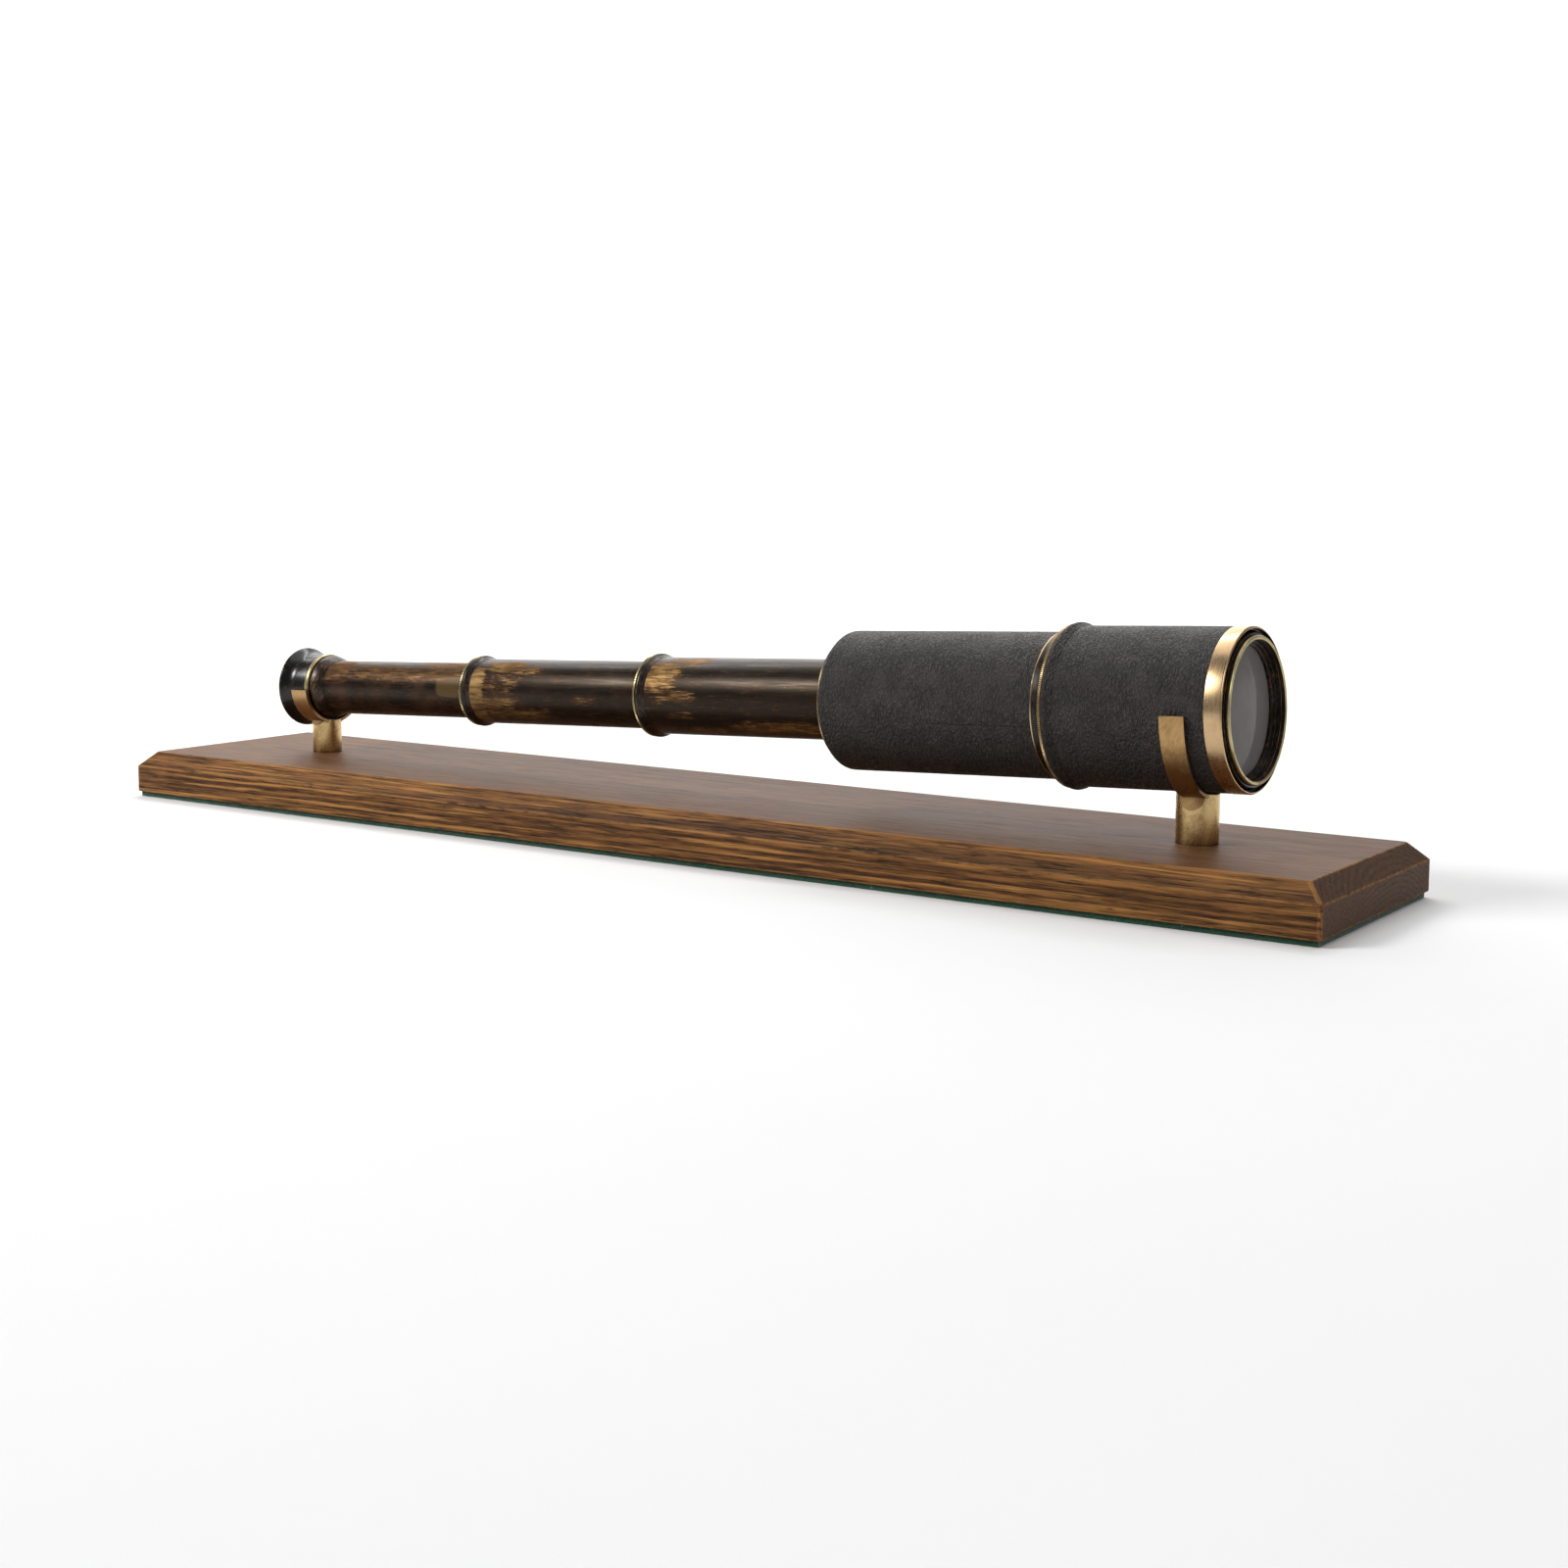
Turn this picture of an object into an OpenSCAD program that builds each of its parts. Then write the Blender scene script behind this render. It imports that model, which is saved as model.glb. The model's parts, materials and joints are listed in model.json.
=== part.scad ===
// Three-draw refracting telescope resting in two brass cradles on a chamfered oak plinth.
// Millimetres. +X runs along the plinth towards the objective, +Z is up, Z = 0 is under the baize.
// Turned parts are drawn along the optical axis: a profile point is [radius, station], and
// the station is the distance along the axis from the point above the plinth's centre.

/* [Plinth] */
// Length of the oak plinth
base_l = 720; // [700:1:760]
// Depth of the oak plinth, front to back
base_d = 136; // [120:1:160]
// Thickness of the oak
base_t = 23.1; // [20:0.1:30]
// Width of the 45 degree chamfer round the top
base_chamfer = 8.2; // [4:0.1:10]
// Thickness of the green baize underneath
baize_t = 2.9; // [1:0.1:4]
// How far the baize stays inside the oak's edge
baize_inset = 1.4; // [0.5:0.1:3]

/* [Optical axis] */
// Height of the optical axis above the table at the plinth's centre
axis_h = 75.3; // [74:0.1:80]
// Slope of the optical axis, objective end up
axis_tilt = 2.36; // [1.8:0.01:2.8]

/* [Tubes] */
// Outside radius of the first (eyepiece) draw
draw1_r = 15.3; // [15:0.05:15.5]
// Step in radius from one draw to the next
draw_step = 2.4; // [2.3:0.05:2.6]
// Wall of the drawn brass tubes
wall = 0.75; // [0.6:0.05:0.9]
// Radial running clearance of a draw in its bush
running = 0.05; // [0.02:0.01:0.1]
// Outside radius of the leather on the barrel
barrel_r = 34.4; // [34:0.1:35]
// Thickness of the leather
leather_t = 1.0; // [0.8:0.1:1.2]
// Outside radius of the leather on the sunshade
shade_r = 37.3; // [37:0.1:37.4]
// Length of a draw that stays inside the next tube
engage = 32; // [30:1:36]
// Length of a slide bush
bush_l = 18; // [14:1:20]

/* [Stations along the axis] */
// Rim of the eye cup
eye_rim = -289.9; // [-292:0.1:-288]
// Eye end of the second draw's collar
collar2 = -152.5; // [-154:0.1:-150]
// Eye end of the third draw's collar
collar3 = -30.0; // [-32:0.1:-28]
// Eye end of the barrel
barrel_eye = 90.2; // [89:0.1:92]
// Objective end of the barrel's leather
leather_end = 207.6; // [206:0.1:209]
// Eye end of the sunshade
shade_eye = 211.2; // [211:0.1:212]
// Front face of the sunshade
shade_front = 301.4; // [300.5:0.1:302]
// Front face of the objective's rim
rim_front = 303.5; // [303:0.1:304.6]

/* [Cradles] */
// Distance of the eyepiece post from the plinth's centre
eye_post_x = 273.3; // [272.8:0.1:273.8]
// Distance of the objective post from the plinth's centre
objective_post_x = 275.4; // [272:0.1:278]
// Radius of each post: eyepiece, then objective
post_r = [8.3, 9.8]; // [8:0.1:9.9]
// Inside radius of the eyepiece cradle
eye_cradle_r = 19.6; // [19.5:0.05:19.8]
// Inside radius of the objective cradle
objective_cradle_r = 38.7; // [38.6:0.05:39]
// Thickness of the cradle bands
band_t = 1.6; // [1.5:0.1:2.2]
// Half width of each cradle band: eyepiece, then objective
band_half = [6.2, 5.6]; // [5:0.1:6.3]
// Height of each band's arms over the band's axis
arm_top = [-0.8, 0]; // [-2:0.1:1]
// How far each cradle has turned on its screw: eyepiece, then objective
cradle_turn = [-3.2, 5.5]; // [-5.5:0.1:5.5]

/* [Optics] */
// Clear radius of the objective
objective_r = 29.2; // [28:0.1:29.3]
// Radius of the eye lens
eye_lens_r = 8; // [6:0.5:9]
// Radius of the field and erector lenses
relay_lens_r = 11; // [9:0.5:11.5]

/* [Hidden] */
$fn = 96;

// A cut reaches this far past the face it opens, so no face is left in its mouth
past = 1;
// Smallest gap left between pieces that move past each other
gap = 0.3;

base_top = baize_t + base_t;
draw2_r = draw1_r + draw_step;
draw3_r = draw2_r + draw_step;
barrel_tube_r = barrel_r - leather_t;
shade_tube_r = shade_r - leather_t;

// Eye cup, bead ring and collar, from the rim towards the objective
cup_rim_r = 22.6;
neck_r = 18.5;
bead_eye = -272.8;
bead_r = 19.0;
eye_collar_eye = -269.6;
eye_collar_end = -261;
eye_collar_r = 18.2;
draw1_eye = -266;

// Turned collars on the draws: milled edge, bead, then a tail on the tube
milled_w = 1.4;
collar_l = 6.5;
collar_rise = 1.8;
tube_set_back = 2;

// Barrel
end_ring_r = 31.0;
end_ring_w = 1.8;
leather_round = 3.8;
barrel_front = 296;

// Every lens rests on a seat this wide
lens_seat = 1.5;

// Objective: the cell screws into the barrel, the rim and the ring hold the lenses
cell_r = 34.3;
cell_eye = 282;
rim_r = 33.3;
rim_eye = 301.4;
lens_edge_r = objective_r + lens_seat;
rim_inner = lens_edge_r + 0.6;
crown_eye = 291.1;
crown_t = 5.0;
crown_back = 0.8;
spacer_t = 0.4;
flint_t = 3.6;

// Sunshade
flange_r = 38.9;
milled_ring_r = 38.2;
milled_ring_eye = 213.2;
milled_ring_front = 214.8;
flange_front = 220;
front_ring_eye = 293.2;
front_ring_r = shade_r + 0.1;

// Screws that hold the posts down through the plinth
screw_r = 2.9;
screw_hole_r = 3.2;
screw_head_r = 5.4;
screw_head_t = 3.4;
counterbore_r = 6.2;
counterbore_depth = 5;
screw_grip = 12;

function axis_z(x) = axis_h + x * tan(axis_tilt);
// Points on an arc round [r, s], from angle a to angle b; angle 0 points outwards
function arc(r, s, rad, a, b, n = 8) =
    [for (i = [0:n]) [r + rad * cos(a + (b - a) * i / n), s + rad * sin(a + (b - a) * i / n)]];

module on_axis() {
    translate([0, 0, axis_h]) rotate([0, 90 - axis_tilt, 0]) children();
}

module turned(profile) {
    on_axis() rotate_extrude() polygon(profile);
}

module tube(inner, outer, from, to) {
    turned([[inner, from], [outer, from], [outer, to], [inner, to]]);
}

// A lens: both faces curve within the clear radius, and a flat rim outside it takes the seat
module lens(r, from, edge, bulge_eye, bulge_front) {
    clear = r - lens_seat - 0.1;
    function face(at, bulge) = bulge == 0 ? [[0, at]]
        : [for (i = [0:8]) let (x = clear * i / 8) [x, at + bulge * (1 - pow(x / clear, 2))]];
    front = face(from + edge, bulge_front);
    turned(concat(face(from, -bulge_eye), [[r, from], [r, from + edge]],
        [for (i = [len(front) - 1:-1:0]) front[i]]));
}

// Collar on the eye end of a draw: milled edge, rounded bead, thin tail over the tube
module draw_collar(eye, bore, tube_r) {
    bead_r = tube_r + collar_rise;
    turned(concat(
        [[bore + gap, eye], [bead_r - 0.4, eye], [bead_r - 0.2, eye + 0.2],
         [bead_r - 0.2, eye + milled_w], [bead_r - 0.4, eye + milled_w + 0.1]],
        arc(bead_r - 1.4, eye + milled_w + 1.5, 1.4, -60, 60),
        [[tube_r + 0.35, eye + collar_l - 1], [tube_r + 0.1, eye + collar_l],
         [tube_r, eye + collar_l], [tube_r, eye + tube_set_back],
         [bore + gap, eye + tube_set_back]]
    ));
}

module oak_base() {
    color("saddlebrown") difference() {
        translate([0, 0, baize_t]) intersection() {
            rotate([90, 0, 0]) linear_extrude(base_d, center = true) chamfered_section(base_l);
            rotate([90, 0, 90]) linear_extrude(base_l, center = true) chamfered_section(base_d);
        }
        for (x = [-eye_post_x, objective_post_x]) translate([x, 0, baize_t]) {
            cylinder(h = base_t + past, r = screw_hole_r);
            translate([0, 0, -past]) cylinder(h = counterbore_depth + past, r = counterbore_r);
        }
    }
}

module chamfered_section(w) {
    polygon([[-w / 2, 0], [w / 2, 0], [w / 2, base_t - base_chamfer],
             [w / 2 - base_chamfer, base_t], [base_chamfer - w / 2, base_t],
             [-w / 2, base_t - base_chamfer]]);
}

module baize_pad() {
    color("darkgreen") translate([-base_l / 2 + baize_inset, -base_d / 2 + baize_inset, 0])
        cube([base_l - 2 * baize_inset, base_d - 2 * baize_inset, baize_t]);
}

// Frame of a cradle: origin on the band's axis over the post, X along the band's own axis.
// The band stands a little high, so that the telescope hangs clear of it all round.
module at_cradle(x, turn, lift) {
    translate([x, 0, axis_z(x) + lift]) rotate([0, 0, turn]) rotate([0, -axis_tilt, 0]) children();
}

module band(r, half_w, inner = 0) {
    rotate([0, 90, 0]) rotate_extrude() translate([inner, -half_w]) square([r - inner, 2 * half_w]);
}

module post(i, x, lift, r) {
    thick = post_r[i];
    difference() {
        translate([x, 0, base_top]) cylinder(h = axis_z(x) - base_top, r = thick);
        at_cradle(x, cradle_turn[i], lift) {
            band(r, 2 * thick);
            band(r + band_t, band_half[i]);
        }
        translate([x, 0, base_top - past]) cylinder(h = screw_grip + past, r = screw_r);
    }
}

// Half-ring band with a rounded tongue lapped down the front and the back of its post
module cradle(i, x, lift, r, tongue_drop) {
    thick = post_r[i];
    turn = cradle_turn[i];
    half = band_half[i];
    tongue_t = 0.9;
    at_cradle(x, turn, lift) difference() {
        band(r + band_t, half, r);
        translate([-2 * r, -2 * r, arm_top[i]]) cube(4 * r);
    }
    foot_z = axis_z(x) + lift - r - band_t - tongue_drop;
    difference() {
        translate([x, 0, 0]) rotate([0, 0, turn]) intersection() {
            difference() {
                translate([0, 0, foot_z]) cylinder(h = r / 2, r = thick + tongue_t);
                translate([0, 0, foot_z - past]) cylinder(h = r / 2 + 2 * past, r = thick);
            }
            rotate([90, 0, 0]) linear_extrude(4 * thick, center = true) union() {
                translate([0, foot_z + half]) circle(r = half);
                translate([-half, foot_z + half]) square([2 * half, r]);
            }
        }
        at_cradle(x, turn, lift) band(r + band_t / 2, 2 * thick);
    }
}

// Height of each band's axis over the optical axis; the turned objective band needs less
eye_lift = eye_cradle_r - bead_r - gap;
objective_lift = 0.5;

module eye_post() {
    color("goldenrod") post(0, -eye_post_x, eye_lift, eye_cradle_r);
}

module objective_post() {
    color("goldenrod") post(1, objective_post_x, objective_lift, objective_cradle_r);
}

module eye_cradle() {
    color("gold") cradle(0, -eye_post_x, eye_lift, eye_cradle_r, 0.8);
}

module objective_cradle() {
    color("gold") cradle(1, objective_post_x, objective_lift, objective_cradle_r, 4.6);
}

module post_screws() {
    color("dimgray") for (x = [-eye_post_x, objective_post_x])
        translate([x, 0, baize_t + counterbore_depth - screw_head_t]) {
            cylinder(h = screw_head_t, r = screw_head_r);
            cylinder(h = base_top + screw_grip - baize_t - counterbore_depth + screw_head_t - gap,
                     r = screw_r);
        }
}

// Eye end: black cup, bead ring, collar and the first draw with its eyepiece and erector
module eye_cup() {
    aperture = 4.5;
    color("black") turned(concat(
        arc(cup_rim_r - 1.1, eye_rim + 1.1, 1.1, -90, 30, 6),
        arc(neck_r + 8.2, -281, 8, 223, 180, 8),
        [[neck_r + 0.2, -279.6], [neck_r, -279.4], [neck_r, bead_eye],
         [draw1_r, bead_eye], [draw1_r, -277.5], [aperture + 1, -279.5], [aperture, -280.5],
         [aperture, -281.8]],
        arc(aperture, -299, 17.2, 90, 33, 8)
    ));
}

module eye_cup_ring() {
    color("khaki") turned([
        [draw1_r, bead_eye], [bead_r - 0.5, bead_eye], [bead_r, bead_eye + 0.6],
        [bead_r, eye_collar_eye - 0.6], [bead_r - 0.5, eye_collar_eye], [draw1_r, eye_collar_eye]
    ]);
}

module eye_collar() {
    shoulder_eye = eye_collar_eye + 1;
    shoulder_l = eye_collar_end - shoulder_eye;
    shoulder_rise = eye_collar_r - draw1_r - 0.1;
    color("black") turned(concat(
        [[draw1_r - wall, eye_collar_eye], [eye_collar_r - 0.6, eye_collar_eye],
         [eye_collar_r - 0.6, eye_collar_eye + 0.7]],
        [for (i = [0:12]) [draw1_r + 0.1 + shoulder_rise * cos(90 * i / 12),
                           shoulder_eye + shoulder_l * i / 12]],
        [[draw1_r, eye_collar_end], [draw1_r, draw1_eye], [draw1_r - wall, draw1_eye]]
    ));
}

first_end = collar2 + engage;

module first_draw() {
    color("saddlebrown") tube(draw1_r - wall, draw1_r, draw1_eye, first_end);
}

// Stop rings stand this far past their bush when a draw is fully out
stop_l = 4;

module first_draw_stop() {
    stop_eye = collar2 + tube_set_back + bush_l + gap;
    color("peru") tube(draw1_r, draw2_r - wall - running, stop_eye, stop_eye + stop_l);
}

cartridge_r = draw1_r - wall;
cartridge_bore = cartridge_r - 1.6;
eyepiece_eye = -265.6;
eyepiece_front = -214;
eye_lens_at = -262.5;
field_lens_at = -221;

module eyepiece_tube() {
    color("dimgray") turned([
        [eye_lens_r, eyepiece_eye], [cartridge_r, eyepiece_eye], [cartridge_r, eyepiece_front],
        [relay_lens_r + 0.9, eyepiece_front], [relay_lens_r + 0.9, field_lens_at + 3],
        [relay_lens_r, field_lens_at + 3], [relay_lens_r, field_lens_at],
        [relay_lens_r - lens_seat, field_lens_at], [relay_lens_r - lens_seat, eye_lens_at + 8],
        [eye_lens_r - lens_seat, eye_lens_at + 6], [eye_lens_r - lens_seat, eye_lens_at + 2.4],
        [eye_lens_r, eye_lens_at + 2.4]
    ]);
}

module eye_lens() {
    color("lightcyan") lens(eye_lens_r, eye_lens_at, 2.4, 0, 1.6);
}

module field_lens() {
    color("lightcyan") lens(relay_lens_r, field_lens_at, 2.6, 0, 2.2);
}

// The stop sits inside the eyepiece between the two lenses
module field_stop() {
    color("black") tube(7, relay_lens_r - lens_seat, -240, -239);
}

erector_eye = -170;
erector_front = first_end;

module erector_tube() {
    color("dimgray") turned([
        [relay_lens_r, erector_eye], [cartridge_r, erector_eye], [cartridge_r, erector_front],
        [relay_lens_r, erector_front], [relay_lens_r, erector_front - 7],
        [relay_lens_r - lens_seat, erector_front - 7], [relay_lens_r - lens_seat, erector_eye + 7],
        [relay_lens_r, erector_eye + 7]
    ]);
}

module rear_erector_lens() {
    color("lightcyan") lens(relay_lens_r, erector_eye + 4.4, 2.6, 1.2, 1.2);
}

module front_erector_lens() {
    color("lightcyan") lens(relay_lens_r, erector_front - 7, 2.6, 1.2, 1.2);
}

module erector_stop() {
    color("black") tube(3.5, relay_lens_r - lens_seat, -146, -145);
}

// Second and third draws: the same pieces, one step larger each time
module draw_tube(eye, r, next) {
    tube(r - wall, r, eye + tube_set_back, next + engage);
}

module draw_bush(eye, bore, tube_r) {
    tube(bore, tube_r - wall, eye + tube_set_back, eye + tube_set_back + bush_l);
}

module draw_stop(tube_r, next_inner, next) {
    stop_eye = next + tube_set_back + bush_l + gap;
    tube(tube_r, next_inner - running, stop_eye, stop_eye + stop_l);
}

module second_draw() {
    color("darkgoldenrod") draw_tube(collar2, draw2_r, collar3);
}

module second_draw_collar() {
    color("black") draw_collar(collar2, draw1_r, draw2_r);
}

module second_draw_bush() {
    color("peru") draw_bush(collar2, draw1_r + running, draw2_r);
}

module second_draw_stop() {
    color("peru") draw_stop(draw2_r, draw3_r - wall, collar3);
}

module third_draw() {
    color("darkgoldenrod") draw_tube(collar3, draw3_r, barrel_eye);
}

module third_draw_collar() {
    color("black") draw_collar(collar3, draw2_r, draw3_r);
}

module third_draw_bush() {
    color("peru") draw_bush(collar3, draw2_r + running, draw3_r);
}

module third_draw_stop() {
    color("peru") draw_stop(draw3_r, barrel_bush_r, barrel_eye);
}

// Barrel
barrel_bush_r = draw3_r + 4.5;

module barrel_tube() {
    color("goldenrod") tube(barrel_tube_r - 1, barrel_tube_r, barrel_eye + 6, barrel_front);
}

module barrel_leather() {
    corner_r = barrel_r - leather_round;
    corner_s = barrel_eye + 1.4 + leather_round;
    color("dimgray") turned(concat(
        [[end_ring_r - 0.4, barrel_eye + 1.8]],
        arc(corner_r, corner_s, leather_round, -80, 0),
        [[barrel_r, leather_end], [barrel_tube_r, leather_end], [barrel_tube_r, corner_s]],
        arc(corner_r, corner_s, leather_round - leather_t, 0, -80),
        [[end_ring_r - 0.4, barrel_eye + 2.4]]
    ));
}

module barrel_end_ring() {
    color("khaki") turned([
        [draw3_r + gap, barrel_eye], [end_ring_r - 0.2, barrel_eye], [end_ring_r, barrel_eye + 0.2],
        [end_ring_r, barrel_eye + end_ring_w - 0.1], [end_ring_r - 0.6, barrel_eye + end_ring_w],
        [end_ring_r - 0.6, barrel_eye + end_ring_w + 0.7], [draw3_r + gap, barrel_eye + end_ring_w + 0.7]
    ]);
}

// The bush carries the third draw, and its flange fills the barrel's eye end
module barrel_bush() {
    flange_eye = barrel_eye + end_ring_w + 0.7;
    flange_end = barrel_eye + 6;
    color("peru") turned([
        [draw3_r + running, flange_eye], [end_ring_r - 0.8, flange_eye],
        [end_ring_r - 0.8, flange_end], [barrel_tube_r - 1, flange_end],
        [barrel_tube_r - 1, flange_end + 4], [barrel_bush_r + 2, flange_end + 4],
        [barrel_bush_r + 2, barrel_eye + tube_set_back + bush_l],
        [draw3_r + running, barrel_eye + tube_set_back + bush_l]
    ]);
}

module barrel_front_band() {
    color("black") turned([
        [barrel_tube_r, leather_end], [barrel_r - 0.1, leather_end],
        [barrel_r + 0.1, leather_end + 0.3], [barrel_r - 0.2, leather_end + 0.7],
        [barrel_r - 0.2, shade_eye - gap], [barrel_tube_r, shade_eye - gap]
    ]);
}

module glare_stop() {
    color("black") tube(23, barrel_tube_r - 1, 252, 253.2);
}

// Objective: cell, two lenses with a spacer between them, retaining ring and milled rim
module objective_cell() {
    flint_front = crown_eye - spacer_t;
    color("black") turned([
        [lens_edge_r - lens_seat, cell_eye], [barrel_tube_r - 1, cell_eye],
        [barrel_tube_r - 1, barrel_front], [cell_r, barrel_front], [cell_r, rim_eye],
        [rim_inner, rim_eye], [rim_inner, crown_eye + crown_t],
        [lens_edge_r, crown_eye + crown_t], [lens_edge_r, flint_front - flint_t],
        [lens_edge_r - lens_seat, flint_front - flint_t]
    ]);
}

module crown_lens() {
    color("lightcyan") lens(lens_edge_r, crown_eye, crown_t, crown_back, 1.4);
}

module flint_lens() {
    color("lightcyan") lens(lens_edge_r, crown_eye - spacer_t - flint_t, flint_t, 0, -crown_back);
}

module lens_spacer() {
    color("silver") tube(lens_edge_r - 0.8, lens_edge_r, crown_eye - spacer_t, crown_eye);
}

module lens_retaining_ring() {
    ring_l = 3.2;
    ring_step = 1.5;
    ring_eye = crown_eye + crown_t;
    color("dimgray") turned([
        [objective_r, ring_eye], [rim_inner, ring_eye], [rim_inner, ring_eye + ring_l],
        [objective_r + 1.1, ring_eye + ring_l], [objective_r + 1.1, ring_eye + ring_step],
        [objective_r, ring_eye + ring_step]
    ]);
}

module objective_rim() {
    color("khaki") turned([
        [rim_inner, rim_eye], [rim_r - 0.2, rim_eye], [rim_r, rim_eye + 0.2],
        [rim_r, rim_front - 0.6], [rim_r - 0.5, rim_front], [rim_inner + 0.4, rim_front],
        [rim_inner, rim_front - 0.4]
    ]);
}

// Sunshade: slides on the bare brass in front of the barrel's leather
module shade_milled_ring() {
    bore = barrel_tube_r + running;
    color("khaki") turned([
        [bore, shade_eye], [barrel_r + 0.2, shade_eye], [milled_ring_r - 1.1, milled_ring_eye],
        [milled_ring_r - 0.2, milled_ring_eye], [milled_ring_r, milled_ring_eye + 0.3],
        [milled_ring_r, milled_ring_front], [shade_tube_r, milled_ring_front],
        [shade_tube_r - wall, milled_ring_front], [shade_tube_r - wall, 226],
        [bore, 226]
    ]);
}

module shade_tube() {
    color("darkgoldenrod") tube(shade_tube_r - wall, shade_tube_r, milled_ring_front, front_ring_eye);
}

module shade_flange() {
    bead = 1.6;
    color("dimgray") turned(concat(
        [[shade_tube_r, milled_ring_front], [flange_r - bead, milled_ring_front]],
        arc(flange_r - bead, milled_ring_front + bead, bead, -75, 55),
        [[shade_r, flange_front], [shade_tube_r, flange_front]]
    ));
}

module shade_leather() {
    color("dimgray") tube(shade_tube_r, shade_r, flange_front, front_ring_eye);
}

module shade_front_ring() {
    lip_r = front_ring_r - 1.1;
    lip_l = 2.4;
    color("gold") turned([
        [shade_tube_r - wall, front_ring_eye], [front_ring_r - 0.1, front_ring_eye],
        [front_ring_r, front_ring_eye + 0.2], [front_ring_r, shade_front - 0.6],
        [front_ring_r - 0.6, shade_front], [lip_r, shade_front],
        [lip_r, shade_front - lip_l], [shade_tube_r - wall, shade_front - lip_l]
    ]);
}

oak_base();
baize_pad();
eye_post();
objective_post();
eye_cradle();
objective_cradle();
post_screws();
eye_cup();
eye_cup_ring();
eye_collar();
first_draw();
first_draw_stop();
eyepiece_tube();
eye_lens();
field_lens();
field_stop();
erector_tube();
rear_erector_lens();
front_erector_lens();
erector_stop();
second_draw();
second_draw_collar();
second_draw_bush();
second_draw_stop();
third_draw();
third_draw_collar();
third_draw_bush();
third_draw_stop();
barrel_tube();
barrel_leather();
barrel_end_ring();
barrel_bush();
barrel_front_band();
glare_stop();
objective_cell();
objective_rim();
crown_lens();
flint_lens();
lens_spacer();
lens_retaining_ring();
shade_tube();
shade_leather();
shade_flange();
shade_milled_ring();
shade_front_ring();
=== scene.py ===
import json
import math
from collections import namedtuple

import bmesh
import bpy
from mathutils import Euler, Matrix, Vector, noise


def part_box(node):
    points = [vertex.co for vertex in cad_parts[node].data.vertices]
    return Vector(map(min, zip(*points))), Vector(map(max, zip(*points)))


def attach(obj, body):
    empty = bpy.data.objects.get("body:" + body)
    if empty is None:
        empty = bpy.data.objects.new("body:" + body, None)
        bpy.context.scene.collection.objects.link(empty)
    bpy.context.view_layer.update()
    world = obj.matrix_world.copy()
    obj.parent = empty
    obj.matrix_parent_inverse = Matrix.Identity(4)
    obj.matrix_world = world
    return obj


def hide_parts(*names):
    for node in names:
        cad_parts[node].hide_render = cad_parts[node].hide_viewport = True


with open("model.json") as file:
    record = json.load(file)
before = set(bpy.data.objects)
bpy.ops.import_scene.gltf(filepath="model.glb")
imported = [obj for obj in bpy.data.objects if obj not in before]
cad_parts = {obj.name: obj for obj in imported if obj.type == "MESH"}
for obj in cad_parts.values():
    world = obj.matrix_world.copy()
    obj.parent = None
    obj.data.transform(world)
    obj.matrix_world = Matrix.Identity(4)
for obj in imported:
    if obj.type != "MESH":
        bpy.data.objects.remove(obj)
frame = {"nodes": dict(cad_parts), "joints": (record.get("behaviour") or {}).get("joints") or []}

# Looks of the draw telescope and its oak stand, in metres. A profile point is (radius, station):
# the station is the distance along the optical axis from the point above the plinth's centre.
MM = 0.001
# The CAD mesh of a ring has flat sides: a finer ring stays this far inside it
FACET_GAP = 0.04 * MM
# Distance from tooth to tooth round a milled edge, and the depths it is cut to
TOOTH_PITCH = 0.95 * MM
TOOTH_DEPTH = 0.3 * MM
DEEP_TOOTH = 0.32 * MM
# Points round a ring for each tooth: the first half of them lies in the groove
POINTS_PER_TOOTH = 4
# Edges that turn by more than this many degrees are shaded sharp
SHARP = 35
MILLED_SHARP = 28
# A milled band: from start to end, on the radii from least outwards
Mill = namedtuple("Mill", "start end least teeth depth")
NODES = frame["nodes"]
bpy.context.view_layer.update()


def telescope_frame():
    """Local frame of the telescope: Z along the optical axis, X to the front, Y down."""
    slide = next(j for j in frame["joints"] if j["name"] == "sunshade_slide")
    axis = Vector(slide["axis"]).normalized()
    low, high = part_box("barrel_tube")
    middle = (low + high) / 2
    origin = middle - axis * (middle.x / axis.x)
    front = Vector((0, -1, 0))
    columns = (front, axis.cross(front), axis)
    matrix = Matrix(columns).transposed().to_4x4()
    matrix.translation = origin
    return matrix


LOCAL = telescope_frame()


def outline(node):
    """Outline of a turned CAD node as profile points, in order round its section."""
    inverse = LOCAL.inverted()
    near = 0.02 * MM
    rings, ring_of = [], []
    for vertex in NODES[node].data.vertices:
        p = inverse @ vertex.co
        point = (math.hypot(p.x, p.y), p.z)
        for i, ring in enumerate(rings):
            if abs(ring[0] - point[0]) < near and abs(ring[1] - point[1]) < near:
                break
        else:
            i = len(rings)
            rings.append(point)
        ring_of.append(i)
    links = {i: set() for i in range(len(rings))}
    for edge in NODES[node].data.edges:
        a, b = (ring_of[v] for v in edge.vertices)
        if a != b:
            links[a].add(b)
            links[b].add(a)
    start = min(links, key=lambda i: (len(links[i]), i))
    order = [start]
    while True:
        fresh = [i for i in sorted(links[order[-1]]) if i not in order]
        if not fresh:
            return [rings[i] for i in order]
        order.append(fresh[0])


def span(node):
    """Least and greatest station, and least and greatest radius, of a turned CAD node."""
    points = outline(node)
    radii = [p[0] for p in points]
    stations = [p[1] for p in points]
    return min(stations), max(stations), min(radii), max(radii)


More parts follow.
